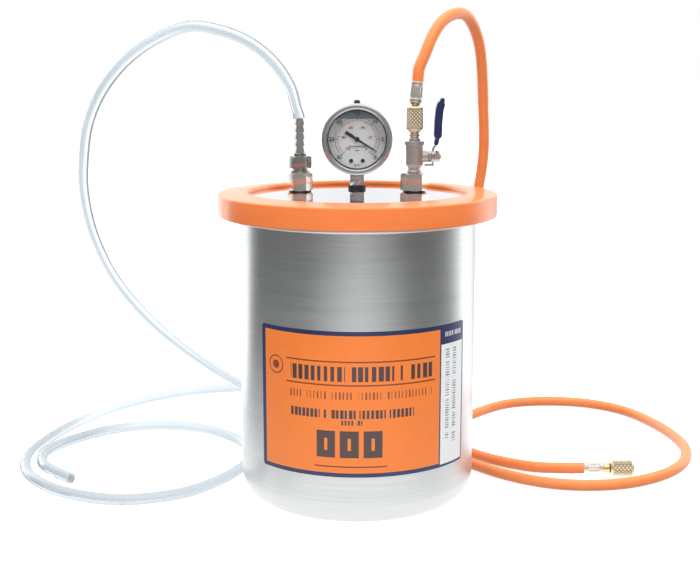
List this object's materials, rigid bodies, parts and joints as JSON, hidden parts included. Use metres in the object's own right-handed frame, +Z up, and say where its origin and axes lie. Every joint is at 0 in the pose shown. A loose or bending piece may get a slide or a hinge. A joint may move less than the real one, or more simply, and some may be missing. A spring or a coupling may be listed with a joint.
{
  "type": "resin pressure pot",
  "caption": "Spun steel resin pot with a loose lid in an orange rubber channel gasket, dial gauge, hose barb with clear tube, and ball valve with charging hose.",
  "frame": {"origin": "centre of the pot's bottom, on the surface it stands on", "axes": "+Z up along the pot's axis; the gauge and the label face -Y; the ball valve is towards +X"},
  "size_m": [0.6345, 0.4495, 0.4156],
  "materials": {
    "pot_steel": "brushed round the pot, clean satin",
    "label_vinyl": "printed satin vinyl, orange panel with a navy border and a white side panel",
    "lid_aluminium": "mirror polished",
    "gasket_rubber": "soft orange silicone rubber, slightly glossy",
    "nickel": "nickel plated turned and cast fittings",
    "black_rubber": "matt black rubber",
    "gauge_steel": "polished stainless steel",
    "gauge_brass": "machined brass",
    "glass": "clear flat window",
    "dial_face": "white enamel with black and red scales",
    "black_paint": "matt black paint",
    "ptfe": "white PTFE",
    "lever_steel": "pressed steel",
    "navy_vinyl": "dipped navy vinyl",
    "hose_brass": "bright knurled brass",
    "ferrule_brass": "crimped, nickel washed brass",
    "orange_hose": "smooth satin orange hose",
    "clear_tube": "clear flexible vinyl"
  },
  "bodies": {
    "pot": {"pot_shell": "pot_steel", "pot_label": "label_vinyl", "far_insert": "hose_brass", "far_seal": "black_rubber", "far_ferrule": "ferrule_brass"},
    "lid": {"lid_plate": "lid_aluminium", "lid_gasket": "gasket_rubber", "hose_port_nipple": "nickel", "hose_port_seal": "black_rubber", "hose_port_washer": "black_rubber", "hose_port_locknut": "nickel", "hose_port_coupling": "nickel", "hose_barb": "nickel", "gauge_port_seal": "black_rubber", "gauge_port_washer": "black_rubber", "gauge_port_locknut": "nickel", "gauge_socket": "gauge_steel", "gauge_case": "gauge_steel", "gauge_bezel": "gauge_steel", "gauge_window": "glass", "gauge_window_seal": "black_rubber", "gauge_dial": "dial_face", "dial_screws": "black_paint", "movement_frame": "gauge_brass", "bourdon_tube": "gauge_brass", "gauge_fill_plug": "black_rubber", "valve_port_nipple": "nickel", "valve_port_seal": "black_rubber", "valve_port_washer": "black_rubber", "valve_port_locknut": "nickel", "valve_port_coupling": "nickel", "valve_body": "nickel", "valve_end_cap": "nickel", "valve_seats": "ptfe", "valve_packing": "ptfe", "valve_gland": "nickel", "flare_adapter": "nickel", "near_seal": "black_rubber", "near_insert": "hose_brass", "near_ferrule": "ferrule_brass", "charging_hose": "orange_hose", "clear_hose": "clear_tube"},
    "lever": {"valve_stem": "nickel", "valve_ball": "gauge_steel", "lever_plate": "lever_steel", "lever_sleeve": "navy_vinyl", "lever_nut": "nickel"},
    "sector": {"gauge_sector": "gauge_brass"},
    "pointer": {"gauge_pointer": "black_paint", "gauge_pinion": "gauge_brass"},
    "near_swivel": {"near_nut": "hose_brass"},
    "far_swivel": {"far_nut": "hose_brass"}
  },
  "joints": [
    {"name": "lid_lift", "type": "slide", "parent": "pot", "child": "lid", "axis": [0, 0, 1], "range_m": [0, 0.12]},
    {"name": "lever_turn", "type": "hinge", "parent": "lid", "child": "lever", "pos_m": [0.04936, 0.0285, 0.28875], "axis": [1, 0, 0], "range_deg": [0, 90]},
    {"name": "sector_swing", "type": "hinge", "parent": "lid", "child": "sector", "pos_m": [0, 0.057, 0.28805], "axis": [0, -1, 0], "range_deg": [-42.8, 1.8]},
    {"name": "pointer_turn", "type": "hinge", "parent": "lid", "child": "pointer", "pos_m": [0, 0.057, 0.30205], "axis": [0, -1, 0], "range_deg": [-11, 257]},
    {"name": "near_nut_turn", "type": "hinge", "parent": "lid", "child": "near_swivel", "pos_m": [0.04936, 0.0285, 0.31075], "axis": [0, 0, 1], "continuous": true},
    {"name": "far_nut_turn", "type": "hinge", "parent": "pot", "child": "far_swivel", "pos_m": [0.25, 0.03, 0.0076], "axis": [1, 0, 0], "continuous": true}
  ],
  "couplings": [
    {"joint": "pointer_turn", "follows": "sector_swing", "ratio": -6}
  ]
}
